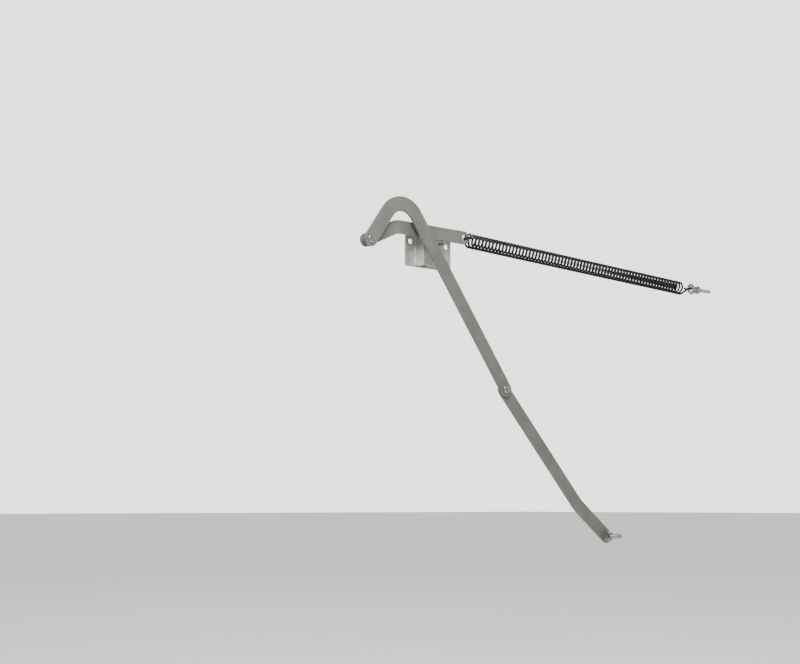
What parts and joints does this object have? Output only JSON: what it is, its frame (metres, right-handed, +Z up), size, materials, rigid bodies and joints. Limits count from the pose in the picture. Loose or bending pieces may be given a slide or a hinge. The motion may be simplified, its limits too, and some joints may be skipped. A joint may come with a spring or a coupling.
{
  "type": "folding hatch stay",
  "caption": "Riveted folding stay for a loft hatch: bracket, cranked lever on a long return spring, hooked upper arm and bent lower arm with a stile bolt.",
  "frame": {"origin": "midway between the bracket's two screw holes, on its mounting face", "axes": "+X along the rail towards the hatch hinge, +Z up, +Y into the rail, away from the room"},
  "size_m": [0.8105, 0.0598, 0.5127],
  "materials": {
    "grey_steel": "satin silver-grey paint",
    "bracket_steel": "zinc-plated sheet",
    "zinc_fastener": "bright zinc plate",
    "black_spring": "black stoved enamel",
    "nylon": "natural nylon"
  },
  "bodies": {
    "bracket": {"base_plate": "bracket_steel", "pivot_channel": "bracket_steel", "pivot_bolt": "zinc_fastener", "pivot_spacer": "zinc_fastener", "pivot_nut": "zinc_fastener", "stop_pin": "zinc_fastener", "anchor_eye_bolt": "zinc_fastener", "anchor_nut": "zinc_fastener", "anchor_washer": "zinc_fastener"},
    "lever": {"power_lever": "grey_steel", "pivot_bush": "nylon", "elbow_rivet": "zinc_fastener", "elbow_spacer": "zinc_fastener"},
    "upper_arm": {"hook_arm": "grey_steel", "knee_rivet": "zinc_fastener", "knee_washer": "nylon"},
    "lower_arm": {"lower_arm": "grey_steel", "stile_bush": "nylon"},
    "stile_fixing": {"stile_bolt": "zinc_fastener", "stile_washer": "zinc_fastener", "stile_nut": "zinc_fastener"},
    "spring_fixed_end": {"spring_coil": "black_spring", "spring_loop_eye": "black_spring"},
    "spring_free_end": {"spring_loop_lever": "black_spring"}
  },
  "joints": [
    {"name": "lever_pivot", "type": "hinge", "parent": "bracket", "child": "lever", "pos_m": [-0.012, -0.0225, 0], "axis": [0, -1, 0], "range_deg": [0, 18], "stiffness_Nm_per_rad": 14, "springref_deg": -10.89},
    {"name": "elbow", "type": "hinge", "parent": "lever", "child": "upper_arm", "pos_m": [-0.137, -0.0334, -0.014], "axis": [0, -1, 0], "range_deg": [-8, 102]},
    {"name": "knee", "type": "hinge", "parent": "upper_arm", "child": "lower_arm", "pos_m": [0.131, -0.02875, -0.217], "axis": [0, -1, 0], "range_deg": [-128, 8]},
    {"name": "stile_pivot", "type": "hinge", "parent": "lower_arm", "child": "stile_fixing", "pos_m": [0.3614, -0.02875, -0.4449], "axis": [0, -1, 0], "range_deg": [-60, 60]},
    {"name": "spring_swing", "type": "hinge", "parent": "bracket", "child": "spring_fixed_end", "pos_m": [0.6067, -0.0225, -0.009], "axis": [0, -1, 0], "range_deg": [-3, 0]},
    {"name": "spring_stretch", "type": "slide", "parent": "spring_fixed_end", "child": "spring_free_end", "axis": [-0.9992, 0, 0.0409], "range_m": [0, 0.01], "deforming": ["spring_coil"]}
  ],
  "couplings": [
    {"joint": "spring_swing", "follows": "lever_pivot", "ratio": -0.11243},
    {"joint": "spring_stretch", "follows": "lever_pivot", "m_per_rad": 0.02742}
  ]
}
